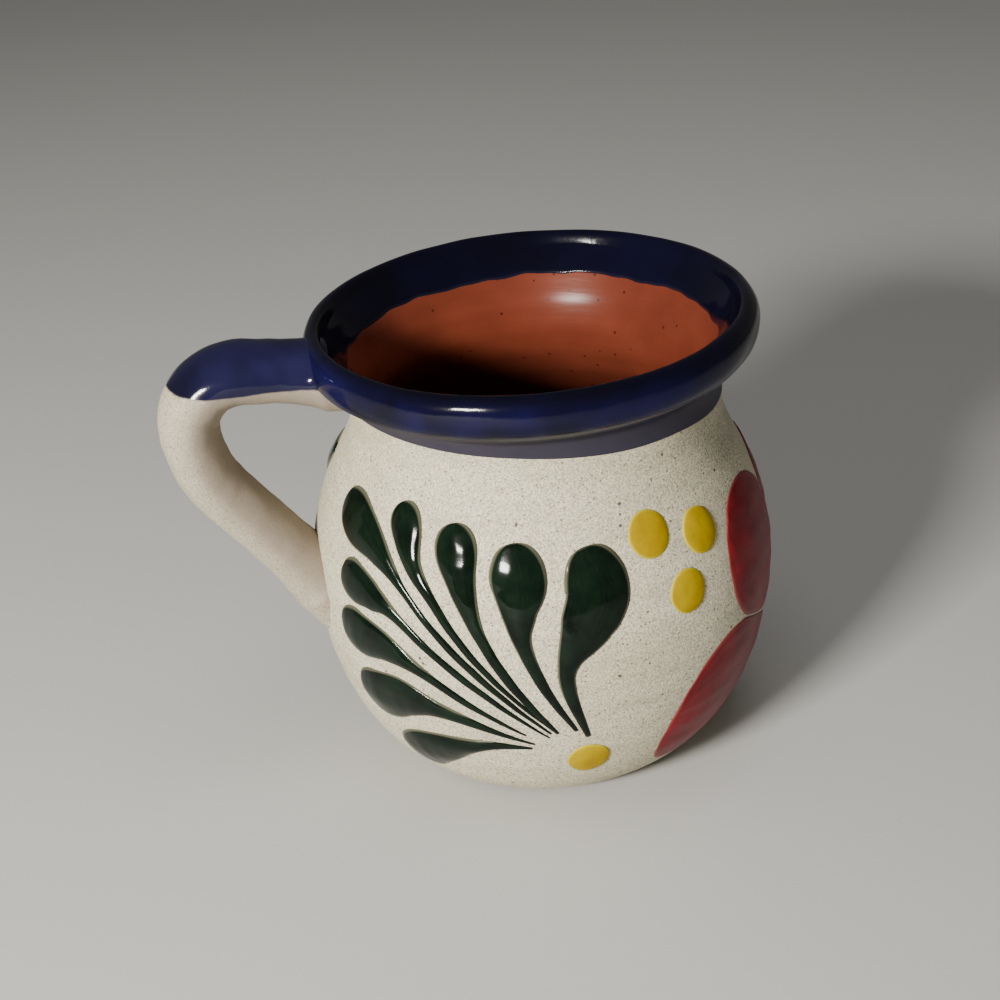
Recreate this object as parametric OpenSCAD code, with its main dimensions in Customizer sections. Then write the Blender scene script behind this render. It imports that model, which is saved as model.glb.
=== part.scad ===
// Jarrito: a round-bellied clay mug with a waist, a rolled lip and one strap handle.
// The origin is the centre of the flat foot, +Z is up, the handle points to -X and the flower to +X.
// Lengths are in millimetres and angles in degrees.

/* [Pot] */
// Radius of the clay belly at its widest
belly_r = 44.9; // [43.5:0.1:46.5]
// Height of the widest place of the belly
belly_h = 40; // [38:0.5:42]
// Radius of the flat foot
foot_r = 25; // [22:0.5:28]
// Radius of the clay at the waist
waist_r = 35.2; // [34:0.1:36.5]
// Height of the waist above the foot
waist_h = 73; // [71.5:0.5:74]
// Thickness of the clay wall
wall = 3.7; // [3:0.1:4.5]
// Thickness of the clay floor
floor_t = 5; // [4:0.5:7]
// Radius of the flat of the floor inside
floor_r = 18; // [14:0.5:21]

/* [Lip] */
// Largest radius of the clay of the rolled lip
lip_r = 42.5; // [41:0.1:44]
// Height of the lip's top above the waist
collar_h = 18.2; // [17:0.1:19.5]
// Thickness of the clay at the top of the lip
lip_t = 3.6; // [3:0.1:4.4]
// Tilt of the collar on the waist, lower at the handle
lip_tilt = 2.2; // [0:0.1:3]

/* [Coats] */
// Thickness of the off-white slip
slip_t = 0.3; // [0.2:0.05:0.5]
// Thickness of the cobalt glaze
cobalt_t = 0.4; // [0.3:0.05:0.6]
// Thickness of the clear glaze inside
lining_t = 0.3; // [0.2:0.05:0.5]
// Height above the foot at which the slip starts
slip_low = 1.2; // [0.8:0.1:3]
// Height of the cobalt dip line above the waist, at the pot's axis
dip_rise = 3.4; // [3:0.1:6]
// Slope of the dip line, higher at the handle
dip_tilt = 2.6; // [0:0.1:4]
// Height above the waist of the cobalt's edge inside the lip
inner_edge_h = 10.6; // [9:0.1:12]

/* [Handle] */
// How far the strap's centreline stands out beyond the belly
handle_out = 20.3; // [17:0.1:24]
// Height of the centre of the handle's bends above the waist
handle_rise = 2.2; // [1:0.1:4]
// Radius of the upper bend's centreline
upper_bend_r = 9.7; // [8.5:0.1:11]
// Radius of the back bend's centreline
back_bend_r = 22.9; // [20:0.1:26]
// Slope of the strap's upper run, rising away from the lip
upper_rise = 6; // [3:0.5:9]
// Lean of the strap's lower run from upright
lower_lean = 37.8; // [34:0.2:42]
// Width of the strap
strap_w = 14.6; // [12:0.1:17]
// Thickness of the strap
strap_t = 11; // [9.5:0.1:12]
// How far along the strap the clay smeared round its upper end starts before the lip
top_luting_l = 9; // [7:0.5:11]
// How far along the strap the clay smeared round its lower end starts before the belly
foot_luting_l = 20; // [18:0.5:22]
// How far the smeared clay spreads beyond the strap's edges where it meets the pot
luting_w = 1.8; // [1:0.1:2.6]
// How far below the middle of the strap's side the cobalt's edge runs along the upper run
strap_dip = 1.2; // [0.4:0.2:3.4]

/* [Decoration] */
// Half width of the widest green stroke
stroke_w = 5.9; // [5:0.1:6.1]
// Height of a green stroke's crown above the slip
stroke_rise = 0.9; // [0.5:0.05:1.2]
// Radius of a yellow dot
dot_r = 4.05; // [3:0.05:4.4]
// Height of a yellow dot's crown above the slip
dot_rise = 0.7; // [0.4:0.05:1]
// How far round the belly the flower's side petals reach from its centre, in degrees
petal_reach = 65; // [58:0.5:66]
// Half width of a petal at its widest
petal_w = 14.2; // [12:0.1:14.4]
// Thickness of a petal
petal_rise = 0.35; // [0.25:0.05:0.6]
// Clearance between the decoration and the slip under it
paint_gap = 0.06; // [0.05:0.01:0.1]

/* [Hidden] */
$fn = 96;
dip_h = waist_h + dip_rise;
handle_h = waist_h + handle_rise;
handle_reach = belly_r + handle_out;
petal_l = petal_reach * belly_r * PI / 180;
sides = ["near", "far"];
stroke_numbers = [1, 2, 3, 4, 5, 6, 7, 8, 9];
dot_numbers = [1, 2, 3, 4];
petal_numbers = [1, 2, 3, 4, 5];

clay_colour = "sienna";
slip_colour = "antiquewhite";
cobalt_colour = "midnightblue";
green_colour = "darkgreen";
yellow_colour = "gold";
red_colour = "firebrick";

// Curves. A Bezier curve has four corner points, and its steps share one count.
curve_steps = 12;
function bezier(a, b, c, d, t) =
    a * pow(1 - t, 3) + 3 * b * t * pow(1 - t, 2) + 3 * c * t * t * (1 - t) + d * pow(t, 3);
function curve(a, b, c, d, steps = curve_steps) = [for (i = [1:steps]) bezier(a, b, c, d, i / steps)];
function backwards(points) = [for (i = [len(points) - 1:-1:0]) points[i]];

// The side that lies to the right of the way along a path is its outer side.
function outward(points, i) =
    let (way = points[min(i + 1, len(points) - 1)] - points[max(i - 1, 0)])
    [way.y, -way.x] / norm(way);
function moved_out(points, d) = [for (i = [0:len(points) - 1]) points[i] + d * outward(points, i)];
function band(points, d) = concat(moved_out(points, d), backwards(points));

// The belly's outline, from its foot to the waist. Its corner points lie at shares of the radii and heights.
heel_shares = [0.69, 0.13];
flank_share = 0.575;
shoulder_share = 0.55;
throat_share = 0.765;
function pot_outline(bottom_r, bottom_h, widest_r, throat_r) =
    let (
        bottom = [bottom_r, bottom_h],
        heel = bottom + [(widest_r - bottom_r) * heel_shares.x, (belly_h - bottom_h) * heel_shares.y],
        flank = [widest_r, bottom_h + (belly_h - bottom_h) * flank_share],
        widest = [widest_r, belly_h],
        shoulder = [widest_r, belly_h + (waist_h - belly_h) * shoulder_share],
        throat = [throat_r, belly_h + (waist_h - belly_h) * throat_share],
        top = [throat_r, waist_h]
    )
    concat([bottom], curve(bottom, heel, flank, widest), curve(widest, shoulder, throat, top));

// The pot and the collar meet on a slanting plane across a short straight stretch of both.
mitre_run = waist_r * tan(lip_tilt) + wall / 4;
pot_outer = concat(pot_outline(foot_r, 0, belly_r, waist_r), [[waist_r, waist_h + mitre_run]]);
throat_r = waist_r - wall;
pot_inner = concat(
    pot_outline(floor_r, floor_t, belly_r - wall, throat_r),
    [[throat_r, waist_h + mitre_run]]
);

// The collar's outline runs up its outside, over the lip and down its inside, in shares of its size.
function at_collar(share) = [waist_r + (lip_r - waist_r) * share.x, collar_h * share.y];
neck_shares = [[0, 0.32], [0.15, 0.45], [0.52, 0.53]];
roll_shares = [[0.87, 0.605], [1.02, 0.715], [1, 0.83]];
crown_shares = [[0.99, 0.94], [0.9, 1], [0.75, 1]];
lip_end = [lip_r - lip_t, collar_h * 0.88];
crown_end_shares = [0.42, 0.94];
crown_start_shares = [0.7, 1];
flare_shares = [0.73, 0.39];
neck_outer = concat(
    [[waist_r, -mitre_run], [waist_r, 0]],
    curve([waist_r, 0], at_collar(neck_shares[0]), at_collar(neck_shares[1]), at_collar(neck_shares[2]))
);
roll_outer = concat(
    curve(
        at_collar(neck_shares[2]),
        at_collar(roll_shares[0]),
        at_collar(roll_shares[1]),
        at_collar(roll_shares[2])
    ),
    curve(
        at_collar(roll_shares[2]),
        at_collar(crown_shares[0]),
        at_collar(crown_shares[1]),
        at_collar(crown_shares[2])
    )
);
crown_w = at_collar(crown_shares[2]).x - lip_end.x;
crown_end = [lip_end.x + crown_w * crown_end_shares.x, collar_h * crown_end_shares.y];
crown_start = [lip_end.x + crown_w * crown_start_shares.x, collar_h * crown_start_shares.y];
lip_inner = curve(at_collar(crown_shares[2]), crown_start, crown_end, lip_end);
flare_inner = concat(
    curve(
        lip_end,
        [throat_r + (lip_end.x - throat_r) * flare_shares.x, collar_h * flare_shares.x],
        [throat_r, collar_h * flare_shares.y],
        [throat_r, 0]
    ),
    [[throat_r, -mitre_run]]
);
collar_path = concat(neck_outer, roll_outer, lip_inner, flare_inner);
cobalt_path = concat(neck_outer, roll_outer, lip_inner, [for (p = flare_inner) if (p.y >= inner_edge_h) p]);
collar_lining_path = [for (p = flare_inner) if (p.y < inner_edge_h) p];

// Half-spaces, each a block larger than the mug
block = 4 * (belly_r + waist_h);
module below(height, tilt) {
    translate([0, 0, height])
        rotate([0, tilt, 0])
            translate([-block / 2, -block / 2, -block])
                cube(block);
}
module above(height, tilt) {
    translate([0, 0, height])
        rotate([0, tilt, 0])
            translate([-block / 2, -block / 2, 0])
                cube(block);
}
module below_mitre() {
    intersection() {
        children();
        below(waist_h, -lip_tilt / 2);
    }
}
module on_collar() {
    intersection() {
        translate([0, 0, waist_h])
            rotate([0, -lip_tilt, 0])
                children();
        above(waist_h, -lip_tilt / 2);
    }
}
module turned(points) {
    rotate_extrude()
        polygon(points);
}

// The pot and the collar as filled shapes with a skin of the given thickness, to cut what sits against them
module pot_fill(skin) {
    turned(concat([[0, 0]], moved_out(pot_outer, skin), [[0, waist_h + mitre_run]]));
}
module collar_fill(skin) {
    translate([0, 0, waist_h])
        rotate([0, -lip_tilt, 0])
            turned(concat(
                [[0, -mitre_run]],
                moved_out(concat(neck_outer, roll_outer), skin),
                [[0, collar_h + skin]]
            ));
}

module clay_body() {
    color(clay_colour)
        below_mitre()
            turned(concat([[0, 0]], pot_outer, backwards(pot_inner), [[0, floor_t]]));
}

module rolled_lip() {
    color(clay_colour)
        on_collar()
            turned(collar_path);
}

// The handle's centreline: an upper run, two bends and a lower run. Its own plane has x away from the pot.
upper_bend = [handle_reach - upper_bend_r, handle_h];
back_bend = [handle_reach - back_bend_r, handle_h];
upper_angle = 90 + upper_rise;
upper_start = upper_bend + upper_bend_r * [cos(upper_angle), sin(upper_angle)];
lower_start = back_bend + back_bend_r * [cos(lower_lean), -sin(lower_lean)];
flare_share = 0.62;
upper_run = (upper_start.x - lip_r + lip_t * 0.8) / cos(upper_rise);
lower_run = (lower_start.x - belly_r * 0.72) / sin(lower_lean);
strap_sides = 28;
strap_fullness = 2.3;
function rounded(x) = sign(x) * pow(abs(x), 2 / strap_fullness);
function strap_section(more) = [
    for (i = [0:strap_sides - 1])
        let (a = 360 * i / strap_sides)
        [(strap_t / 2 + more) * rounded(cos(a)), (strap_w / 2 + more) * rounded(sin(a))]
];
module to_handle_side() {
    rotate([0, 0, 180])
        children();
}
module bend(centre, radius, from, to, more) {
    translate([centre.x, 0, centre.y])
        rotate([90, 0, 0])
            rotate([0, 0, from])
                rotate_extrude(angle = to - from)
                    translate([radius, 0])
                        polygon(strap_section(more));
}
module at_upper_run() {
    translate([upper_bend.x, 0, upper_bend.y])
        rotate([90, 0, 0])
            rotate([0, 0, upper_angle])
                translate([upper_bend_r, 0, 0])
                    rotate([-90, 0, 0])
                        children();
}
module at_lower_run() {
    translate([back_bend.x, 0, back_bend.y])
        rotate([90, 0, 0])
            rotate([0, 0, -lower_lean])
                translate([back_bend_r, 0, 0])
                    rotate([90, 0, 0])
                        children();
}
module upper_prism(more) {
    to_handle_side()
        at_upper_run()
            linear_extrude(upper_run)
                polygon(strap_section(more));
}
module lower_prism(more) {
    to_handle_side()
        at_lower_run()
            linear_extrude(lower_run)
                polygon(strap_section(more));
}
module strap(more) {
    upper_prism(more);
    lower_prism(more);
    to_handle_side() {
        bend(upper_bend, upper_bend_r, 0, upper_angle, more);
        bend(back_bend, back_bend_r, -lower_lean, 0, more);
    }
}

// The clay smeared round each end is a round flare. It widens in a quarter round and runs on into the wall.
flare_steps = 10;
flare_core = strap_t / 2 - wall / 20;
flare_full = strap_w / 2 + luting_w;
upper_hit = (upper_start.x - lip_r) / cos(upper_rise);
lower_hit = (lower_start.x - belly_r) / sin(lower_lean);
function flare_outline(length, onward) = concat(
    [[0, 0]],
    [for (i = [0:flare_steps])
        let (a = 90 * i / flare_steps)
        [flare_core + (flare_full - flare_core) * (1 - cos(a)), length * sin(a)]],
    [[flare_full, length + onward], [0, length + onward]]
);
module top_flare() {
    to_handle_side()
        at_upper_run()
            translate([strap_t / 2 - flare_full, 0, upper_hit - top_luting_l])
                turned(flare_outline(top_luting_l * flare_share, 3 * wall));
}
module foot_flare() {
    to_handle_side()
        at_lower_run()
            translate([0, 0, lower_hit - foot_luting_l])
                turned(flare_outline(foot_luting_l * flare_share, 6 * wall));
}

module handle() {
    color(clay_colour)
        difference() {
            strap(0);
            pot_fill(0);
            collar_fill(0);
        }
}

module handle_top_luting() {
    color(cobalt_colour)
        difference() {
            top_flare();
            collar_fill(cobalt_t);
            upper_prism(cobalt_t);
        }
}

module handle_foot_luting() {
    color(slip_colour)
        difference() {
            foot_flare();
            pot_fill(slip_t);
            lower_prism(slip_t);
        }
}

module body_slip() {
    color(slip_colour)
        difference() {
            below_mitre()
                turned(band([for (p = pot_outer) if (p.y >= slip_low) p], slip_t));
            lower_prism(0);
        }
}

module neck_slip() {
    color(slip_colour)
        intersection() {
            on_collar()
                turned(band(neck_outer, slip_t));
            below(dip_h, dip_tilt);
        }
}

module lip_glaze() {
    color(cobalt_colour)
        difference() {
            intersection() {
                translate([0, 0, waist_h])
                    rotate([0, -lip_tilt, 0])
                        turned(band(cobalt_path, cobalt_t));
                above(dip_h, dip_tilt);
            }
            upper_prism(0);
        }
}

module lining_glaze() {
    color(clay_colour)
        below_mitre()
            turned(band(concat(backwards(pot_inner), [[0, floor_t]]), lining_t));
}

module throat_glaze() {
    color(clay_colour)
        on_collar()
            turned(band(collar_lining_path, lining_t));
}

// A coat of the strap is a sleeve whose ends lie under the smeared clay. Its section is whole below the
// cobalt, and along the upper run and the bend's top it is parted lengthwise into cobalt above and slip below.
dip_turn = 25;
upper_coat = upper_hit - top_luting_l * (1 - flare_share);
lower_coat = lower_hit - foot_luting_l * (1 - flare_share);
module coat_section(thickness) {
    difference() {
        polygon(strap_section(thickness));
        polygon(strap_section(0));
    }
}
module top_part(share) {
    translate([share * (block / 2 + paint_gap / 2) - strap_dip, 0])
        square(block, center = true);
}
module bend_coat(centre, radius, from, to) {
    translate([centre.x, 0, centre.y])
        rotate([90, 0, 0])
            rotate([0, 0, from])
                rotate_extrude(angle = to - from)
                    translate([radius, 0])
                        children();
}

module handle_slip() {
    color(slip_colour)
        to_handle_side() {
            bend_coat(upper_bend, upper_bend_r, 0, dip_turn)
                coat_section(slip_t);
            bend_coat(back_bend, back_bend_r, -lower_lean, 0)
                coat_section(slip_t);
            at_lower_run()
                linear_extrude(lower_coat)
                    coat_section(slip_t);
        }
}

module handle_under_slip() {
    color(slip_colour)
        to_handle_side() {
            at_upper_run()
                linear_extrude(upper_coat)
                    intersection() {
                        coat_section(slip_t);
                        top_part(-1);
                    }
            bend_coat(upper_bend, upper_bend_r, dip_turn, upper_angle)
                intersection() {
                    coat_section(slip_t);
                    top_part(-1);
                }
        }
}

module handle_glaze() {
    color(cobalt_colour)
        to_handle_side() {
            at_upper_run()
                linear_extrude(upper_coat)
                    intersection() {
                        coat_section(cobalt_t);
                        top_part(1);
                    }
            bend_coat(upper_bend, upper_bend_r, dip_turn, upper_angle)
                intersection() {
                    coat_section(cobalt_t);
                    top_part(1);
                }
        }
}

// The slip's outer surface, as radius and lean at a height, carries the decoration.
skin_points = moved_out(pot_outer, slip_t);
skin_radii = [for (p = skin_points) [p.y, p.x]];
skin_normals = [for (i = [0:len(pot_outer) - 1]) outward(pot_outer, i)];
normal_out = [for (i = [0:len(skin_points) - 1]) [skin_points[i].y, skin_normals[i].x]];
normal_up = [for (i = [0:len(skin_points) - 1]) [skin_points[i].y, skin_normals[i].y]];
function on_skin(turn, height, off) =
    let (r = lookup(height, skin_radii) + off * lookup(height, normal_out), up = lookup(height, normal_up))
    [r * cos(turn), r * sin(turn), height + off * up];

// A raised patch of enamel over a grid of places, each with a turn, a height and a share of the rise
module patch(places, rise) {
    rows = len(places);
    cols = len(places[0]);
    tops = [for (row = places) for (p = row)
        on_skin(p[0], p[1], paint_gap + rise * (0.25 + 0.75 * p[2]))];
    seats = [for (row = places) for (p = row) on_skin(p[0], p[1], paint_gap)];
    under = rows * cols;
    tiles = [for (i = [0:rows - 2]) for (j = [0:cols - 2])
        [i * cols + j, i * cols + j + 1, (i + 1) * cols + j + 1, (i + 1) * cols + j]];
    rim = concat(
        [for (j = [0:cols - 1]) j],
        [for (i = [1:rows - 1]) i * cols + cols - 1],
        [for (j = [cols - 2:-1:0]) (rows - 1) * cols + j],
        [for (i = [rows - 2:-1:1]) i * cols]
    );
    split = concat([for (t = tiles) [t[0], t[1], t[2]]], [for (t = tiles) [t[0], t[2], t[3]]]);
    skirts = [for (k = [0:len(rim) - 1])
        let (a = rim[k], b = rim[(k + 1) % len(rim)])
        each [[b, a, a + under], [b, a + under, b + under]]];
    bottoms = [for (t = split) [t[2] + under, t[1] + under, t[0] + under]];
    polyhedron(concat(tops, seats), concat(split, bottoms, skirts));
}

// Green strokes. Each knot has a turn, a height as a share of the waist's, and a half width as a share.
// The first knot is the round head's end, the second its widest place, and the last the tail's tip.
stroke_shares = [
    [[194.3, 0.857, 0], [203, 0.816, 0.75], [213, 0.777, 0.47],
     [223, 0.705, 0.15], [240, 0.537, 0.14], [258.6, 0.34, 0.04]],
    [[217, 0.9, 0], [220.7, 0.852, 0.58], [225, 0.77, 0.32],
     [231, 0.7, 0.18], [243, 0.542, 0.12], [259.6, 0.345, 0.03]],
    [[234.4, 0.885, 0], [236.3, 0.821, 0.68], [238.8, 0.74, 0.44],
     [243, 0.63, 0.21], [250, 0.497, 0.16], [260.2, 0.34, 0.06]],
    [[250.6, 0.855, 0], [252.5, 0.765, 0.83], [252.3, 0.685, 0.53],
     [253.2, 0.608, 0.27], [258, 0.477, 0.16], [264.7, 0.345, 0.07]],
    [[269.6, 0.836, 0], [270.5, 0.74, 1], [266.6, 0.65, 0.78],
     [263.2, 0.558, 0.36], [263.2, 0.472, 0.23], [267.7, 0.32, 0.09]],
    [[200.8, 0.694, 0], [206.4, 0.674, 0.7], [213, 0.661, 0.53],
     [222, 0.625, 0.2], [241.5, 0.475, 0.13], [258.2, 0.325, 0.03]],
    [[200.9, 0.558, 0], [208, 0.537, 0.82], [217, 0.534, 0.58],
     [227, 0.497, 0.24], [239.4, 0.422, 0.13], [252.5, 0.335, 0.04]],
    [[205, 0.38, 0], [212.5, 0.367, 0.93], [221, 0.39, 0.78],
     [230, 0.387, 0.38], [240, 0.36, 0.18], [254.5, 0.301, 0.04]],
    [[216.5, 0.157, 0], [222.5, 0.208, 0.85], [230, 0.245, 0.66],
     [239, 0.278, 0.31], [246, 0.29, 0.16], [253.8, 0.286, 0.05]]
];
stroke_rows = 22;
stroke_cols = 7;
head_share = 0.16;
function knot(knots, i) = knots[max(0, min(len(knots) - 1, i))];
function smooth(knots, t) =
    let (
        at = t * (len(knots) - 1),
        i = min(floor(at), len(knots) - 2),
        f = at - i,
        a = knot(knots, i - 1), b = knot(knots, i), c = knot(knots, i + 1), d = knot(knots, i + 2)
    )
    0.5 * (2 * b + (c - a) * f + (2 * a - 5 * b + 4 * c - d) * f * f + (3 * b - a - 3 * c + d) * pow(f, 3));
function head_round(t) = t < head_share ? sqrt(max(1 - pow(1 - t / head_share, 2), 0.002)) : 1;
function half_width(knots, t) =
    let (widest = knots[1][2])
    t < 1 / (len(knots) - 1) ? widest * head_round(t) * min(1, t / head_share + 0.6) : smooth(knots, t)[2];
function degrees_of(width, height) = width / lookup(height, skin_radii) * 180 / PI;

// Across a stroke the places lie square to its centreline, and its crown is half an ellipse.
function stroke_row(knots, t) =
    let (
        here = smooth(knots, t),
        ahead = smooth(knots, min(t + 0.01, 1)),
        behind = smooth(knots, max(t - 0.01, 0)),
        height = here[1] * waist_h,
        way_x = (ahead[0] - behind[0]) / degrees_of(1, height),
        way_y = (ahead[1] - behind[1]) * waist_h,
        long = norm([way_x, way_y]),
        w = max(half_width(knots, t), 0.03) * stroke_w
    )
    [for (j = [0:stroke_cols - 1])
        let (a = 180 * j / (stroke_cols - 1), s = -cos(a))
        [
            here[0] + degrees_of(-w * s * way_y / long, height),
            height + w * s * way_x / long,
            sin(a) * min(1, w / (stroke_w * 0.35))
        ]];
function stroke_places(knots) = [for (i = [0:stroke_rows]) stroke_row(knots, pow(i / stroke_rows, 1.25))];

module on_side(side) {
    mirror([0, side == "far" ? 1 : 0, 0])
        children();
}

module stroke(side, n) {
    color(green_colour)
        on_side(side)
            patch(stroke_places(stroke_shares[n - 1]), stroke_rise);
}

// Yellow dots: a turn and a height as a share of the waist's, for the three of a group and the one below
dot_shares = [[286.2, 0.835], [301.7, 0.8], [294, 0.675], [268.2, 0.231]];
dot_rings = 6;
function dome_points(radius, rise, seat_r) = concat(
    [for (i = [0:dot_rings]) let (x = radius * i / dot_rings) [x, -x * x / (2 * seat_r)]],
    [for (i = [dot_rings - 1:-1:0])
        let (a = 90 * i / dot_rings, x = radius * sin(a), seat = -x * x / (2 * seat_r))
        [x, seat + rise * (0.2 + 0.8 * cos(a))]]
);
module dot(turn, height) {
    place = on_skin(turn, height, paint_gap * 2);
    lean = acos(lookup(height, normal_up));
    color(yellow_colour)
        translate(place)
            rotate([0, lean, turn])
                turned(dome_points(dot_r, dot_rise, belly_r * 0.9));
}
module dot_of(side, n) {
    on_side(side)
        dot(dot_shares[n - 1][0], dot_shares[n - 1][1] * waist_h);
}

// The flower: five petals fan out from its centre on the front, the middle one shorter.
flower_h = 21;
petal_turn = 44;
petal_length_shares = [1, 0.98, 0.78, 0.98, 1];
petal_start = 6.5;
petal_gap = 0.2;
petal_rows = 16;
petal_cols = 12;
widest_share = 0.72;
function petal_half(along, length) =
    let (
        wide = petal_start + (length - petal_start) * widest_share,
        inner = petal_w * sqrt(max(1 - pow((wide - along) / wide, 2), 0)),
        outer = petal_w * sqrt(max(1 - pow((along - wide) / (length - wide), 2), 0.001)),
        room = along * tan(petal_turn / 2) - petal_gap
    )
    min(room, along < wide ? inner : outer);
function petal_row(angle, length, share) =
    let (along = petal_start + (length - petal_start) * share, half = petal_half(along, length))
    [for (j = [0:petal_cols - 1])
        let (
            s = 1 - 2 * j / (petal_cols - 1),
            x = along * cos(angle) - s * half * sin(angle),
            height = flower_h + along * sin(angle) + s * half * cos(angle),
            low = max(height, slip_low * 2)
        )
        [degrees_of(x, low), low, 1 - pow(s, 4)]];
module petal(n) {
    angle = 90 + (n - (len(petal_numbers) + 1) / 2) * petal_turn;
    length = petal_l * petal_length_shares[n - 1];
    color(red_colour)
        patch([for (i = [0:petal_rows]) petal_row(angle, length, sin(90 * i / petal_rows))], petal_rise);
}

module flower_centre() {
    dot(0, flower_h);
}

clay_body();
rolled_lip();
handle();
handle_top_luting();
handle_foot_luting();
body_slip();
neck_slip();
handle_slip();
handle_under_slip();
lining_glaze();
throat_glaze();
lip_glaze();
handle_glaze();
for (side = sides) for (n = stroke_numbers)
    stroke(side, n);
for (side = sides) for (n = dot_numbers)
    dot_of(side, n);
for (n = petal_numbers)
    petal(n);
flower_centre();
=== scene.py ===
"""Jarrito: the looks of a round-bellied clay mug with a cobalt lip, a strap handle and raised enamel painting.

Lengths are in millimetres in the dataclasses and become metres where a mesh is made. The frame is the part's own:
+Z up from the foot, the handle towards -X, the flower towards +X and the plumes on the -Y side.
"""

import logging
import math
from dataclasses import dataclass, field
from enum import Enum
from typing import Callable

import bmesh
import bpy
from mathutils import Matrix, Quaternion, Vector, noise


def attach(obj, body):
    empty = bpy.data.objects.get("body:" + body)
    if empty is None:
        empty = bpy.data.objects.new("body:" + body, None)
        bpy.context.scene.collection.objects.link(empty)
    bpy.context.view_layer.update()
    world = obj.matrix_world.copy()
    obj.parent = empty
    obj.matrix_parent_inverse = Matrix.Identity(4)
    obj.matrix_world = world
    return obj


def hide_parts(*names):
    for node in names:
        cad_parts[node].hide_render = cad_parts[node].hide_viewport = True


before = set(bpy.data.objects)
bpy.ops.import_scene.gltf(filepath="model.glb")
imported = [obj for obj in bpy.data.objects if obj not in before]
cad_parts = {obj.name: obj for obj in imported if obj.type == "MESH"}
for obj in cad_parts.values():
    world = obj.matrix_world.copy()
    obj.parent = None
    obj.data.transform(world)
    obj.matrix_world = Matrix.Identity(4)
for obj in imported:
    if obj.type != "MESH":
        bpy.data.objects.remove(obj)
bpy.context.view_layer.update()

LOG = logging.getLogger("jarrito")
MM = 0.001
BODY = "root"
Pair = tuple[float, float]
Colour = tuple[float, float, float]
Knot = tuple[float, float, float]


class Side(Enum):
    """Which flank of the mug a painted piece lies on."""

    NEAR = "near"
    FAR = "far"

    @property
    def sign(self) -> float:
        """The sign by which a turn round the pot is taken."""
        return 1.0 if self is Side.NEAR else -1.0


class Slot(Enum):
    """The material slots."""

    CLAY = "terracotta"
    LINING = "clear_glaze"
    SLIP = "white_slip"
    COBALT = "cobalt_glaze"
    GREEN = "green_enamel"
    YELLOW = "yellow_enamel"
    RED = "red_enamel"


# Shapes


def smoothstep(low: float, high: float, x: float) -> float:
    """A soft step from 0 at low to 1 at high.

    Args:
        low: Where the step starts.
        high: Where it ends.
        x: The place asked for.

    Returns:
        A share from 0 to 1.
    """
    t = min(max((x - low) / (high - low), 0.0), 1.0)
    return t * t * (3 - 2 * t)


def bezier(a: Vector, b: Vector, c: Vector, d: Vector, steps: int = 24) -> list[Vector]:
    """Points along a cubic curve, without its first one.

    Args:
        a: The start.
        b: The first corner point.
        c: The second corner point.
        d: The end.
        steps: How many points to give.

    Returns:
        The points in order.
    """
    out = []
    for i in range(1, steps + 1):
        t = i / steps
        out.append(a * (1 - t) ** 3 + b * (3 * t * (1 - t) ** 2) + c * (3 * t * t * (1 - t)) + d * t**3)
    return out


def wander(x: float, y: float, z: float, scale: float) -> float:
    """Soft noise from -1 to 1 whose waves are about one scale long."""
    return noise.noise(Vector((x, y, z)) / scale)


@dataclass(frozen=True)
class Outline:
    """A run of points in the half plane of radius and height, walked by its length."""

    points: tuple[Vector, ...]

    def lengths(self) -> list[float]:
        """The length walked at each point."""
        out = [0.0]
        for a, b in zip(self.points, self.points[1:]):
            out.append(out[-1] + (b - a).length)
        return out

    def at(self, share: float) -> tuple[Vector, Vector]:
        """The place and the outward direction at a share of the way.

        Args:
            share: From 0 at the first point to 1 at the last.

        Returns:
            The point and the unit vector to the right of the way.
        """
        walked = self.lengths()
        goal = share * walked[-1]
        i = 0
        while i < len(walked) - 2 and walked[i + 1] < goal:
            i += 1
        span = max(walked[i + 1] - walked[i], 1e-9)
        f = min(max((goal - walked[i]) / span, 0.0), 1.0)
        here = self.points[i].lerp(self.points[i + 1], f)
        before = self.points[max(i - 1, 0)]
        after = self.points[min(i + 2, len(self.points) - 1)]
        near_way = (self.points[i + 1] - self.points[i]).normalized()
        way = (near_way * 0.5 + (after - before).normalized() * 0.5).normalized()
        return here, Vector((way.y, -way.x))

    def part(self, keep: Callable[[Vector], bool]) -> "Outline":
        """The outline with only the points that a test keeps."""
        return Outline(tuple(p for p in self.points if keep(p)))


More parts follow.
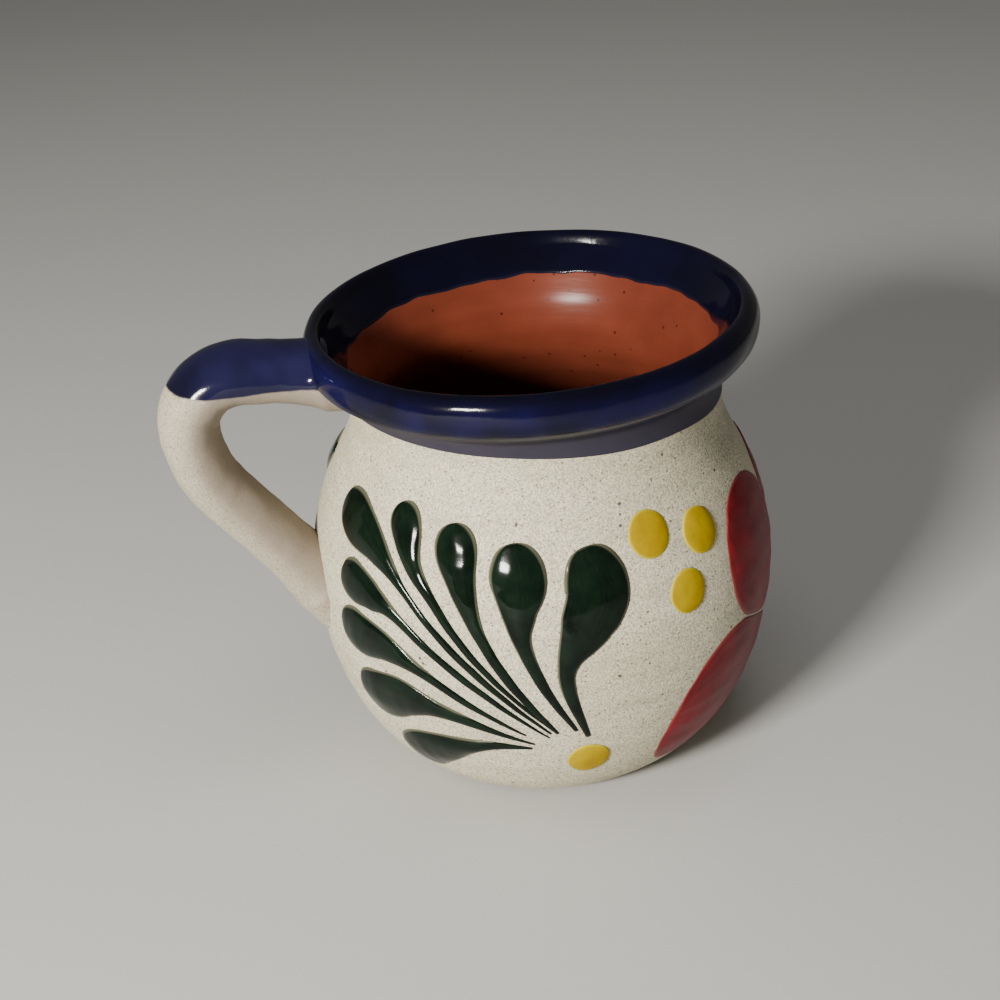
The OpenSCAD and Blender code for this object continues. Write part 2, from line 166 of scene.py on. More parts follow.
@dataclass(frozen=True)
class PotForm:
    """The pot's form, with the sizes and shares of the part's source."""

    belly_r: float = 44.9
    belly_h: float = 40.0
    foot_r: float = 25.0
    waist_r: float = 35.2
    waist_h: float = 73.0
    wall: float = 3.7
    floor_t: float = 5.0
    floor_r: float = 18.0
    lip_r: float = 42.5
    collar_h: float = 18.2
    lip_t: float = 3.6
    lip_tilt: float = 2.2
    slip_t: float = 0.3
    cobalt_t: float = 0.4
    lining_t: float = 0.3
    slip_low: float = 1.2
    dip_h: float = 76.4
    dip_tilt: float = 2.6
    inner_edge_h: float = 10.6
    throwing: float = 0.12

    def belly(self, bottom: Pair, widest: float, throat: float) -> list[Vector]:
        """One side of the belly's wall from its foot to the waist.

        Args:
            bottom: Radius and height of the lowest place.
            widest: The largest radius.
            throat: The radius at the waist.

        Returns:
            The points from the bottom up.
        """
        start = Vector(bottom)
        heel = start + Vector(((widest - start.x) * 0.69, (self.belly_h - start.y) * 0.13))
        flank = Vector((widest, start.y + (self.belly_h - start.y) * 0.575))
        middle = Vector((widest, self.belly_h))
        rise = self.waist_h - self.belly_h
        shoulder = Vector((widest, self.belly_h + rise * 0.55))
        neck = Vector((throat, self.belly_h + rise * 0.765))
        top = Vector((throat, self.waist_h))
        return [start] + bezier(start, heel, flank, middle) + bezier(middle, shoulder, neck, top)

    def collar(self, x: float, y: float) -> Vector:
        """A place on the collar from its shares."""
        return Vector((self.waist_r + (self.lip_r - self.waist_r) * x, self.waist_h + self.collar_h * y))

    def outside(self) -> Outline:
        """From the edge of the foot, up the belly and the neck, to the top of the lip."""
        points = self.belly((self.foot_r, 0.0), self.belly_r, self.waist_r)
        neck = [self.collar(0, 0), self.collar(0, 0.32), self.collar(0.15, 0.45), self.collar(0.52, 0.53)]
        roll = [neck[3], self.collar(0.87, 0.605), self.collar(1.01, 0.68), self.collar(1, 0.79)]
        crown = [roll[3], self.collar(0.99, 0.92), self.collar(0.86, 1), self.collar(0.68, 1)]
        for curve in (neck, roll, crown):
            points += bezier(*curve)
        return Outline(tuple(points))

    def inside(self) -> Outline:
        """From the top of the lip, down through the throat and the belly, to the middle of the floor."""
        end_x = self.lip_r - self.lip_t
        top = self.collar(0.68, 1)
        end = Vector((end_x, self.waist_h + self.collar_h * 0.88))
        throat_r = self.waist_r - self.wall
        crown_w = top.x - end_x
        corner = Vector((end_x + crown_w * 0.7, top.y))
        shoulder = Vector((end_x + crown_w * 0.42, self.waist_h + self.collar_h * 0.94))
        points = [top] + bezier(top, corner, shoulder, end)
        points += bezier(
            end,
            Vector((throat_r + (end_x - throat_r) * 0.73, self.waist_h + self.collar_h * 0.73)),
            Vector((throat_r, self.waist_h + self.collar_h * 0.39)),
            Vector((throat_r, self.waist_h)),
        )
        wall = self.belly((self.floor_r, self.floor_t), self.belly_r - self.wall, throat_r)
        return Outline(tuple(points + wall[::-1][1:] + [Vector((0.0, self.floor_t))]))

    def tilted(self, p: Vector) -> Vector:
        """A point after the collar's tilt, which comes in smoothly over the waist.

        Args:
            p: A point of the upright pot in millimetres.

        Returns:
            The point where the tilted collar has it.
        """
        angle = -math.radians(self.lip_tilt) * smoothstep(self.waist_h - 7, self.waist_h + 6, p.z)
        z = p.z - self.waist_h
        x = p.x * math.cos(angle) + z * math.sin(angle)
        return Vector((x, p.y, self.waist_h - p.x * math.sin(angle) + z * math.cos(angle)))

    def place(self, spot: Vector, turn: float) -> Vector:
        """A point of a wall at a turn round the pot, with the slight unevenness of hand throwing.

        Args:
            spot: Radius and height in millimetres.
            turn: Angle from +X in radians.

        Returns:
            The point in millimetres.
        """
        c, s = math.cos(turn), math.sin(turn)
        ring = 0.35 * math.sin(spot.y * 1.15 + turn) * smoothstep(3, 12, spot.y)
        uneven = self.throwing * (wander(c * 40, s * 40, spot.y, 26.0) * 1.6 + ring)
        r = max(spot.x + uneven * min(spot.x / 12, 1.0), 0.0)
        return self.tilted(Vector((r * c, r * s, spot.y)))

    def dip_height(self, turn: float) -> float:
        """Height of the cobalt's lower edge at a turn, with its slight runs."""
        x = math.cos(turn) * self.waist_r
        runs = 0.35 * wander(math.cos(turn) * 20, math.sin(turn) * 20, 5.0, 9.0)
        askew = 0.85 * math.sin(math.radians(self.lip_tilt))
        return self.dip_h - x * (math.tan(math.radians(self.dip_tilt)) + askew) + runs

    def inner_height(self, turn: float) -> float:
        """Height of the cobalt's ragged edge inside the lip at a turn."""
        c, s = math.cos(turn), math.sin(turn)
        ragged = 0.7 * wander(c * 30, s * 30, 1.0, 11.0) + 0.45 * wander(c * 30, s * 30, 7.0, 3.5)
        return self.waist_h + self.inner_edge_h + ragged


@dataclass(frozen=True)
class Skin:
    """The slip's outer surface on the belly, which carries the painting."""

    form: PotForm
    outline: Outline = field(init=False)
    heights: tuple[float, ...] = field(init=False)

    def __post_init__(self) -> None:
        """Keeps the belly's outline and its heights for look-ups."""
        object.__setattr__(self, "outline", self.form.outside().part(lambda p: p.y <= self.form.waist_h))
        object.__setattr__(self, "heights", tuple(p.y for p in self.outline.points))

    def radius(self, height: float) -> float:
        """Radius of the clay at a height."""
        return self.spot(height, 0.0).x

    def spot(self, height: float, off: float) -> Vector:
        """Radius and height of a place that lies off the clay at a height.

        Args:
            height: Height on the clay.
            off: How far off the clay.

        Returns:
            Radius and height in millimetres.
        """
        h = min(max(height, self.heights[0] + 0.01), self.heights[-1] - 0.01)
        i = 0
        while self.heights[i + 1] < h:
            i += 1
        a, b = self.outline.points[i], self.outline.points[i + 1]
        f = (h - a.y) / max(b.y - a.y, 1e-9)
        way_a = (self.outline.points[i + 1] - self.outline.points[max(i - 1, 0)]).normalized()
        way_b = (self.outline.points[min(i + 2, len(self.heights) - 1)] - a).normalized()
        way = way_a.lerp(way_b, f).normalized()
        return a.lerp(b, f) + Vector((way.y, -way.x)) * off

    def on(self, turn: float, height: float, off: float) -> Vector:
        """A point off the slip at a turn and a height, in millimetres.

        Args:
            turn: Degrees from +X.
            height: Height on the clay.
            off: Distance outside the slip.

        Returns:
            The point.
        """
        return self.form.place(self.spot(height, off + self.form.slip_t), math.radians(turn))

    def degrees_of(self, width: float, height: float) -> float:
        """The turn that a width takes up at a height."""
        return math.degrees(width / self.radius(height))


# Meshes

Place = Callable[[float, float], Vector]
Weight = Callable[[float, float], float]


@dataclass(frozen=True)
class Sheet:
    """A grid that is warped into place: a coat, a wall, a stroke or a dot."""

    name: str
    across: int
    along: int
    place: Place
    weight: Weight = lambda u, v: 1.0

    def build(self, back: float, inside_out: bool = False) -> bpy.types.Object:
        """Makes the mesh from a grid, closes its seam and gives it a thickness inwards.

        Args:
            back: Thickness in millimetres behind the front.
            inside_out: Whether the grid's own front faces the wrong way.

        Returns:
            The new object, which rides on the pot.
        """
        bm = bmesh.new()
        uv = bm.loops.layers.uv.new("UVMap")
        thick = bm.verts.layers.float.new("thick")
        bmesh.ops.create_grid(bm, x_segments=self.across, y_segments=self.along, size=0.5, calc_uvs=True)
        for loop in (loop for face in bm.faces for loop in face.loops):
            loop[uv].uv = (loop.vert.co.x + 0.5, loop.vert.co.y + 0.5)
        for vert in bm.verts:
            u, v = vert.co.x + 0.5, vert.co.y + 0.5
            vert[thick] = self.weight(u, v)
            vert.co = self.place(u, v) * MM
        bmesh.ops.remove_doubles(bm, verts=bm.verts, dist=2e-6)
        if inside_out:
            bmesh.ops.reverse_faces(bm, faces=bm.faces)
        mesh = bpy.data.meshes.new(self.name)
        bm.to_mesh(mesh)
        bm.free()
        mesh.polygons.foreach_set("use_smooth", [True] * len(mesh.polygons))
        piece = bpy.data.objects.new(self.name, mesh)
        bpy.context.scene.collection.objects.link(piece)
        if back:
            wall = piece.modifiers.new("thickness", "SOLIDIFY")
            wall.thickness = back * MM
            wall.offset = -1.0
            wall.use_rim = True
            wall.use_even_offset = False
        return piece


def settle(piece: bpy.types.Object, material: bpy.types.Material, nodes: list[str]) -> None:
    """Gives a piece its material and body, and names the solids that it stands for.

    Args:
        piece: The finished object.
        material: Its material.
        nodes: The part's nodes that it replaces.
    """
    piece.data.materials.clear()
    piece.data.materials.append(material)
    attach(piece, BODY)
    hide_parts(*nodes)
    LOG.info("%s: %d faces for %s", piece.name, len(piece.data.polygons), ", ".join(nodes))


# Finishes


class Board:
    """A short hand for wiring a material's nodes."""

    def __init__(self, name: str) -> None:
        """Starts a material with its Principled shader.

        Args:
            name: The material's name.
        """
        self.material = bpy.data.materials.new(name)
        self.material.use_nodes = True
        self.tree = self.material.node_tree
        self.shader = next(n for n in self.tree.nodes if n.type == "BSDF_PRINCIPLED")
        self.coords = self.add("ShaderNodeTexCoord").outputs["Object"]

    def add(self, kind: str, **settings: object) -> bpy.types.Node:
        """A new node with its settings."""
        node = self.tree.nodes.new(kind)
        for key, value in settings.items():
            setattr(node, key, value)
        return node

    def link(self, source: bpy.types.NodeSocket, target: bpy.types.NodeSocket) -> None:
        """Wires one socket to another."""
        self.tree.links.new(source, target)

    def scaled(self, scale: tuple[float, float, float]) -> bpy.types.NodeSocket:
        """Object coordinates stretched by a scale along each axis."""
        node = self.add("ShaderNodeMapping")
        self.link(self.coords, node.inputs["Vector"])
        node.inputs["Scale"].default_value = scale
        return node.outputs["Vector"]

    def noise(self, scale: float, detail: float = 3.0, rough: float = 0.55,
              vector: bpy.types.NodeSocket | None = None) -> bpy.types.NodeSocket:
        """Noise in the space given, or in object coordinates.

        Args:
            scale: Waves per metre.
            detail: Octaves.
            rough: Roughness of the octaves.
            vector: Coordinates, if not the object's.

        Returns:
            The factor socket.
        """
        node = self.add("ShaderNodeTexNoise")
        self.link(vector or self.coords, node.inputs["Vector"])
        node.inputs["Scale"].default_value = scale
        node.inputs["Detail"].default_value = detail
        node.inputs["Roughness"].default_value = rough
        return node.outputs["Fac"]

    def ramp(self, value: bpy.types.NodeSocket, *stops: tuple[float, float]) -> bpy.types.NodeSocket:
        """A grey ramp through stops of place and value.

        Args:
            value: What is ramped.
            stops: Pairs of place and grey.

        Returns:
            The ramped factor.
        """
        node = self.add("ShaderNodeValToRGB")
        self.link(value, node.inputs["Fac"])
        elements = node.color_ramp.elements
        while len(elements) < len(stops):
            elements.new(0.5)
        for element, (place, grey) in zip(elements, stops):
            element.position = place
            element.color = (grey, grey, grey, 1.0)
        return node.outputs["Color"]

    def mix(self, share: bpy.types.NodeSocket | float, a: bpy.types.NodeSocket | Colour,
            b: bpy.types.NodeSocket | Colour, blend: str = "MIX") -> bpy.types.NodeSocket:
        """Mixes two colours.

        Args:
            share: How much of b.
            a: The first colour or its socket.
            b: The second.
            blend: The way they mix.

        Returns:
            The mixed colour.
        """
        node = self.add("ShaderNodeMix", data_type="RGBA", blend_type=blend)
        for socket, value in ((node.inputs[0], share), (node.inputs[6], a), (node.inputs[7], b)):
            if isinstance(value, bpy.types.NodeSocket):
                self.link(value, socket)
            elif isinstance(value, float):
                socket.default_value = value
            else:
                socket.default_value = (*value, 1.0)
        return node.outputs[2]

    def math(self, operation: str, a: bpy.types.NodeSocket | float, b: bpy.types.NodeSocket | float = 0.0,
             clamp: bool = False) -> bpy.types.NodeSocket:
        """One step of arithmetic on two values."""
        node = self.add("ShaderNodeMath", operation=operation, use_clamp=clamp)
        for socket, value in zip(node.inputs, (a, b)):
            if isinstance(value, bpy.types.NodeSocket):
                self.link(value, socket)
            else:
                socket.default_value = value
        return node.outputs[0]

    def specks(self, scale: float, size: float, share: float) -> bpy.types.NodeSocket:
        """Small round specks, one in some of the cells of a scatter.

        Args:
            scale: Cells per metre.
            size: Radius of a speck as a share of a cell.
            share: Share of the cells that have one.

        Returns:
            The specks' mask.
        """
        cells = self.add("ShaderNodeTexVoronoi")
        self.link(self.coords, cells.inputs["Vector"])
        cells.inputs["Scale"].default_value = scale
        pick = self.add("ShaderNodeSeparateColor")
        self.link(cells.outputs["Color"], pick.inputs[0])
        chosen = self.math("LESS_THAN", pick.outputs[0], share)
        near = self.ramp(cells.outputs["Distance"], (size * 0.8, 1.0), (size * 1.2, 0.0))
        return self.math("MULTIPLY", chosen, near)

    def pools(self) -> bpy.types.NodeSocket:
        """Broad patches where a glaze has pooled."""
        return self.ramp(self.noise(70.0, 2.0, 0.5), (0.3, 0.0), (0.75, 1.0))

    def axis(self, name: str) -> bpy.types.NodeSocket:
        """One of the object coordinates, in metres."""
        node = self.add("ShaderNodeSeparateXYZ")
        self.link(self.coords, node.inputs[0])
        return node.outputs[name]

    def share(self, name: str) -> bpy.types.NodeSocket:
        """How far round a sheet a place lies for X, or how far along it for Y."""
        node = self.add("ShaderNodeSeparateXYZ")
        self.link(self.add("ShaderNodeTexCoord").outputs["UV"], node.inputs[0])
        return node.outputs[name]

    def attribute(self, name: str) -> bpy.types.NodeSocket:
        """A number that the mesh carries at its points."""
        return self.add("ShaderNodeAttribute", attribute_name=name).outputs["Fac"]

    def finish(self, colour: bpy.types.NodeSocket, roughness: bpy.types.NodeSocket | float,
               bump: bpy.types.NodeSocket | None = None, depth: float = 0.05,
               shine: float = 0.4) -> bpy.types.Material:
        """Wires the shader's own sockets.

        Args:
            colour: Base colour.
            roughness: Roughness, as a socket or a number.
            bump: Height of the fine relief.
            depth: The relief's depth in millimetres.
            shine: Level of the body's own reflection.

        Returns:
            The material.
        """
        self.link(colour, self.shader.inputs["Base Color"])
        if isinstance(roughness, bpy.types.NodeSocket):
            self.link(roughness, self.shader.inputs["Roughness"])
        else:
            self.shader.inputs["Roughness"].default_value = roughness
        if bump is not None:
            node = self.add("ShaderNodeBump")
            node.inputs["Strength"].default_value = 1.0
            node.inputs["Distance"].default_value = depth * MM
            self.link(bump, node.inputs["Height"])
            self.link(node.outputs["Normal"], self.shader.inputs["Normal"])
        self.shader.inputs["Specular IOR Level"].default_value = shine
        return self.material


def srgb(r: int, g: int, b: int) -> Colour:
    """A colour from its usual 0 to 255 values to the renderer's linear ones."""
    return tuple(c / 255 / 12.92 if c / 255 <= 0.04045 else ((c / 255 + 0.055) / 1.055) ** 2.4 for c in (r, g, b))


@dataclass(frozen=True)
class ClayFinish:
    """Bare fired terracotta with sandy grain."""

    light: Colour = srgb(168, 100, 72)
    dark: Colour = srgb(120, 62, 42)

    def material(self) -> bpy.types.Material:
        """The finish as a material."""
        b = Board("terracotta")
        blotch = b.ramp(b.noise(90.0, 4.0), (0.3, 0.0), (0.7, 1.0))
        grain = b.noise(2600.0, 2.0, 0.7)
        colour = b.mix(blotch, self.dark, self.light)
        colour = b.mix(b.ramp(grain, (0.62, 0.0), (0.72, 0.5)), colour, srgb(92, 46, 32))
        return b.finish(colour, 0.78, grain, 0.08)


@dataclass(frozen=True)
class LiningFinish:
    """Terracotta under a clear glaze, with the rings of throwing and painted shade that darkens it towards the
    floor.
    """

    light: Colour = srgb(122, 58, 40)
    dark: Colour = srgb(70, 29, 20)
    # Heights in metres over which painted shade darkens the lining towards the floor.
    painted_shade_low: float = 0.05
    painted_shade_high: float = 0.083

    def material(self) -> bpy.types.Material:
        """The finish as a material."""
        b = Board("clear_glaze_on_terracotta")
        rings = b.noise(120.0, 3.0, 0.6, b.scaled((0.25, 0.25, 3.2)))
        blotch = b.ramp(b.noise(45.0, 3.0), (0.2, 0.3), (0.72, 1.0))
        specks = b.math("MULTIPLY", b.specks(420.0, 0.13, 0.3), 0.7)
        colour = b.mix(blotch, self.dark, self.light)
        colour = b.mix(b.math("MULTIPLY", rings, 0.35), colour, self.dark)
        colour = b.mix(specks, colour, srgb(40, 14, 10))
        # Painted shade: the lining is darkened towards the floor, where the mug's own wall shades the inside.
        depth = b.add("ShaderNodeMapRange", interpolation_type="SMOOTHSTEP", clamp=True)
        b.link(b.axis("Z"), depth.inputs["Value"])
        depth.inputs["From Min"].default_value = self.painted_shade_low
        depth.inputs["From Max"].default_value = self.painted_shade_high
        depth.inputs["To Min"].default_value = 0.3
        depth.inputs["To Max"].default_value = 0.0
        colour = b.mix(depth.outputs["Result"], colour, srgb(44, 20, 15))
        return b.finish(colour, b.ramp(blotch, (0.0, 0.22), (1.0, 0.3)), rings, 0.06, 0.14)


@dataclass(frozen=True)
class SlipFinish:
    """Off-white slip under a thin glaze, with faint brushing, warm stains and dark specks."""

    light: Colour = srgb(226, 221, 196)
    warm: Colour = srgb(212, 204, 176)
    grey: Colour = srgb(186, 179, 154)

    def colour(self, b: Board) -> bpy.types.NodeSocket:
        """The slip's colour on a board.

        Args:
            b: The board it is wired on.

        Returns:
            The colour socket.
        """
        stain = b.ramp(b.noise(42.0, 4.0, 0.6), (0.35, 0.0), (0.7, 1.0))
        brushed = b.ramp(b.noise(210.0, 4.0, 0.6, b.scaled((0.4, 0.4, 2.2))), (0.4, 0.0), (0.75, 0.55))
        colour = b.mix(stain, self.light, self.warm)
        colour = b.mix(brushed, colour, self.grey)
        sand = b.ramp(b.noise(2700.0, 3.0, 0.75), (0.42, 0.0), (0.6, 0.85))
        colour = b.mix(sand, colour, srgb(148, 138, 116))
        colour = b.mix(b.math("MULTIPLY", b.specks(1150.0, 0.21, 0.38), 0.72), colour, srgb(70, 58, 44))
        return b.mix(b.math("MULTIPLY", b.specks(330.0, 0.1, 0.3), 0.85), colour, srgb(52, 42, 34))

    def material(self) -> bpy.types.Material:
        """The finish as a material."""
        b = Board("white_slip")
        relief = b.math("ADD", b.noise(420.0, 4.0, 0.6), b.math("MULTIPLY", b.noise(2200.0, 2.0, 0.7), 0.5))
        return b.finish(self.colour(b), 0.64, relief, 0.09, 0.22)


@dataclass(frozen=True)
class CobaltFinish:
    """Cobalt glaze: near black where thick, blue where thinner and grey lilac where it thins out over the slip;
    that grey lilac is darkened with painted shade for the neck under the lip.
    """

    deep: Colour = srgb(7, 6, 14)
    blue: Colour = srgb(20, 18, 66)
    # Grey lilac of thin glaze over slip, darkened with painted shade for where it lies under the lip's overhang.
    thin: Colour = srgb(50, 47, 60)

    def colour(self, b: Board) -> bpy.types.NodeSocket:
        """The cobalt's colour on a board.

        Args:
            b: The board it is wired on.

        Returns:
            The colour socket.
        """
        along = b.ramp(b.share("Y"), (0.26, 1.0), (0.5, 0.9), (0.62, 0.12), (1.0, 0.2))
        colour = b.mix(b.math("MULTIPLY", b.pools(), along), self.deep, self.blue)
        break_up = b.math("MULTIPLY", b.noise(260.0, 3.0), 0.5)
        thinness = b.math("SUBTRACT", 1.0, b.attribute("thick"), True)
        share = b.math("MULTIPLY", thinness, b.math("ADD", break_up, 0.72), True)
        return b.mix(share, colour, self.thin)

    def material(self) -> bpy.types.Material:
        """The finish as a material."""
        b = Board("cobalt_glaze")
        rough = b.ramp(b.share("Y"), (0.0, 0.6), (0.31, 0.6), (0.42, 0.13), (1.0, 0.13))
        return b.finish(self.colour(b), rough, b.noise(300.0, 3.0), 0.05, 0.22)


@dataclass(frozen=True)
class HandleFinish:
    """The strap's finish: cobalt above its dip line and slip below, with a thin edge between, and painted shade on
    the strap's inner side.
    """

    slip: SlipFinish
    cobalt: CobaltFinish

    def material(self) -> bpy.types.Material:
        """The finish as a material."""
        b = Board("dipped_strap")
        relief = b.noise(340.0, 4.0, 0.6)
        blue = b.attribute("thick")
        edge = b.math("ADD", blue, b.math("MULTIPLY", b.math("SUBTRACT", b.noise(150.0, 3.0), 0.5), 0.2))
        mask = b.ramp(edge, (0.47, 0.0), (0.53, 1.0))
        cobalt = b.mix(b.pools(), srgb(16, 15, 34), srgb(32, 31, 66))
        # The slip is tinted taupe all round the strap; the stronger band on its inner side is painted shade.
        inner = b.ramp(b.share("X"), (0.14, 0.4), (0.28, 0.9), (0.72, 0.9), (0.86, 0.4))
        slip = b.mix(inner, self.slip.colour(b), srgb(134, 122, 109))
        rim = b.ramp(edge, (0.43, 0.0), (0.5, 0.3), (0.58, 0.0))
        colour = b.mix(rim, b.mix(mask, slip, cobalt), self.cobalt.thin)
        return b.finish(colour, b.ramp(mask, (0.0, 0.62), (1.0, 0.13)), relief, 0.05, 0.3)


@dataclass(frozen=True)
class EnamelFinish:
    """Thick painted enamel that pales at its thin rim."""

    name: str
    body: Colour
    deep: Colour
    rim: Colour
    rim_width: float
    rough: float
    streak: float
    shine: float

    def material(self) -> bpy.types.Material:
        """The finish as a material."""
        b = Board(self.name)
        uv = b.add("ShaderNodeTexCoord").outputs["UV"]
        stretch = b.add("ShaderNodeMapping")
        b.link(uv, stretch.inputs["Vector"])
        stretch.inputs["Scale"].default_value = (9.0, 1.4, 1.0)
        hairs = b.noise(2.4, 5.0, 0.62, stretch.outputs["Vector"])
        cloud = b.noise(170.0, 4.0, 0.6)
        colour = b.mix(b.ramp(cloud, (0.34, 0.0), (0.68, 1.0)), self.deep, self.body)
        streaks = b.math("MULTIPLY", b.ramp(hairs, (0.45, 0.0), (0.7, 1.0)), self.streak)
        colour = b.mix(streaks, colour, self.rim)
        thick = b.attribute("thick")
        rim = b.ramp(thick, (0.0, 1.0), (self.rim_width * 0.5, 0.65), (self.rim_width, 0.0))
        colour = b.mix(rim, colour, self.rim)
        return b.finish(colour, self.rough, b.noise(420.0, 3.0), 0.02, self.shine)


GREEN = EnamelFinish("green_enamel", srgb(15, 30, 19), srgb(6, 15, 9), srgb(98, 99, 80), 0.3, 0.11, 0.02, 0.16)
YELLOW = EnamelFinish("yellow_enamel", srgb(173, 148, 0), srgb(154, 125, 0), srgb(186, 172, 40),
                      0.3, 0.26, 0.1, 0.05)
RED = EnamelFinish("red_enamel", srgb(130, 30, 38), srgb(94, 17, 24), srgb(120, 54, 52), 0.4, 0.36, 0.25, 0.1)


# Pieces


@dataclass
class Pot:
    """The thrown pot: clay, slip, linings and the cobalt lip."""

    form: PotForm
    clay: bpy.types.Material
    slip: bpy.types.Material
    lining: bpy.types.Material
    cobalt: bpy.types.Material
    around: int = 192

    def turned(self, name: str, outline: Outline, rows: int, off: Callable[[float], float]) -> Sheet:
        """A wall that follows an outline all the way round.

        Args:
            name: The piece's name.
            outline: The outline it follows.
            rows: Rows of faces along it.
            off: Distance outside the outline at a share of the way.

        Returns:
            The sheet.
        """
        def place(u: float, v: float) -> Vector:
            """A point of the wall."""
            spot, out = outline.at(v)
            return self.form.place(spot + out * off(v), math.tau * u)
        return Sheet(name, self.around, rows, place)

    def clay_pieces(self) -> None:
        """The clay of the pot, and of the collar with its lip."""
        waist = self.form.waist_h
        outer = [p for p in self.form.outside().points if p.y <= waist]
        inner = [p for p in self.form.inside().points if p.y <= waist]
        loop = Outline(tuple([Vector((0.0, 0.0))] + outer + inner))
        body = self.turned("clay_pot", loop, 170, lambda v: -0.02).build(0.0)
        settle(body, self.clay, ["clay_body"])
        outer = [p for p in self.form.outside().points if p.y >= waist]
        inner = [p for p in self.form.inside().points if p.y >= waist]
        loop = Outline(tuple(outer + inner[1:] + [outer[0]]))
        lip = self.turned("clay_collar", loop, 90, lambda v: -0.02).build(0.0)
        settle(lip, self.clay, ["rolled_lip"])

    def slip_coat(self) -> None:
        """The slip outside, from just above the foot to under the cobalt's edge."""
        outline = self.form.outside().part(lambda p: self.form.slip_low <= p.y <= self.form.dip_h + 4)

        def place(u: float, v: float) -> Vector:
            """A point of the slip, whose lower edge is ragged."""
            turn = math.tau * u
            ragged = 0.5 * wander(math.cos(turn) * 25, math.sin(turn) * 25, 3.0, 6.0)
            lift = min(v / 0.012, 1.0)
            share = v + (1 - v) ** 6 * 0.008 * ragged
            spot, out = outline.at(min(max(share, 0.0), 1.0))
            return self.form.place(spot + out * self.form.slip_t * math.sqrt(lift), turn)
        coat = Sheet("slip_coat", self.around, 150, place).build(0.25)
        settle(coat, self.slip, ["body_slip", "neck_slip"])

    def lip_coat(self) -> None:
        """The cobalt from its dip line up the neck, over the lip and down to its ragged edge inside."""
        form = self.form
        points = [p for p in form.outside().points if p.y >= form.dip_h - 5]
        points += [p for p in form.inside().points[1:] if p.y >= form.waist_h + form.inner_edge_h - 3]
        outline = Outline(tuple(points))
        walked = outline.lengths()
        split = len([p for p in form.outside().points if p.y >= form.dip_h - 5])

        def share_of(height: float, inner: bool) -> float:
            """The share of the way at which the outline passes a height."""
            run = range(split, len(points) - 1) if inner else range(0, split - 1)
            for i in run:
                a, b = points[i], points[i + 1]
                if min(a.y, b.y) <= height <= max(a.y, b.y) and abs(a.y - b.y) > 1e-9:
                    f = (height - a.y) / (b.y - a.y)
                    return (walked[i] + f * (walked[i + 1] - walked[i])) / walked[-1]
            return 1.0 if inner else 0.0

        def bead(v: float) -> float:
            """The coat's thickness, which rounds off at both edges."""
            near_edge = min(v, 1 - v)
            return form.cobalt_t * math.sqrt(max(1 - (1 - min(near_edge / 0.018, 1.0)) ** 2, 0.0)) + 0.02

        def place(u: float, v: float) -> Vector:
            """A point of the cobalt."""
            turn = math.tau * u
            low, high = share_of(form.dip_height(turn), False), share_of(form.inner_height(turn), True)
            spot, out = outline.at(low + (high - low) * v)
            lumps = 0.12 * wander(math.cos(turn) * 40, math.sin(turn) * 40, v * 60, 8.0)
            return form.place(spot + out * (bead(v) + lumps * smoothstep(0, 0.1, min(v, 1 - v))), turn)

        def weight(u: float, v: float) -> float:
            """How thick the cobalt lies: thin on the neck and at the edge inside."""
            turn = math.tau * u
            front = 0.5 + 0.5 * math.cos(turn + 0.5)
            reach = 0.1 + 0.045 * front + 0.02 * wander(math.cos(turn) * 30, math.sin(turn) * 30, 2.0, 10.0)
            return smoothstep(reach, reach + 0.07, v) * (1 - 0.35 * smoothstep(0.965, 1.0, v))
        coat = Sheet("cobalt_lip_coat", self.around, 120, place, weight).build(0.3)
        settle(coat, self.cobalt, ["lip_glaze"])

    def lining_coat(self) -> None:
        """The clear glazed inside, from under the cobalt's edge to the floor."""
        top = self.form.waist_h + self.form.inner_edge_h + 2
        outline = self.form.inside().part(lambda p: p.y <= top)
        sheet = self.turned("clear_glaze_lining", outline, 130, lambda v: self.form.lining_t)
        settle(sheet.build(0.25), self.lining, ["lining_glaze", "throat_glaze"])

    def build(self) -> None:
        """Makes every piece of the pot."""
        self.clay_pieces()
        self.slip_coat()
        self.lip_coat()
        self.lining_coat()


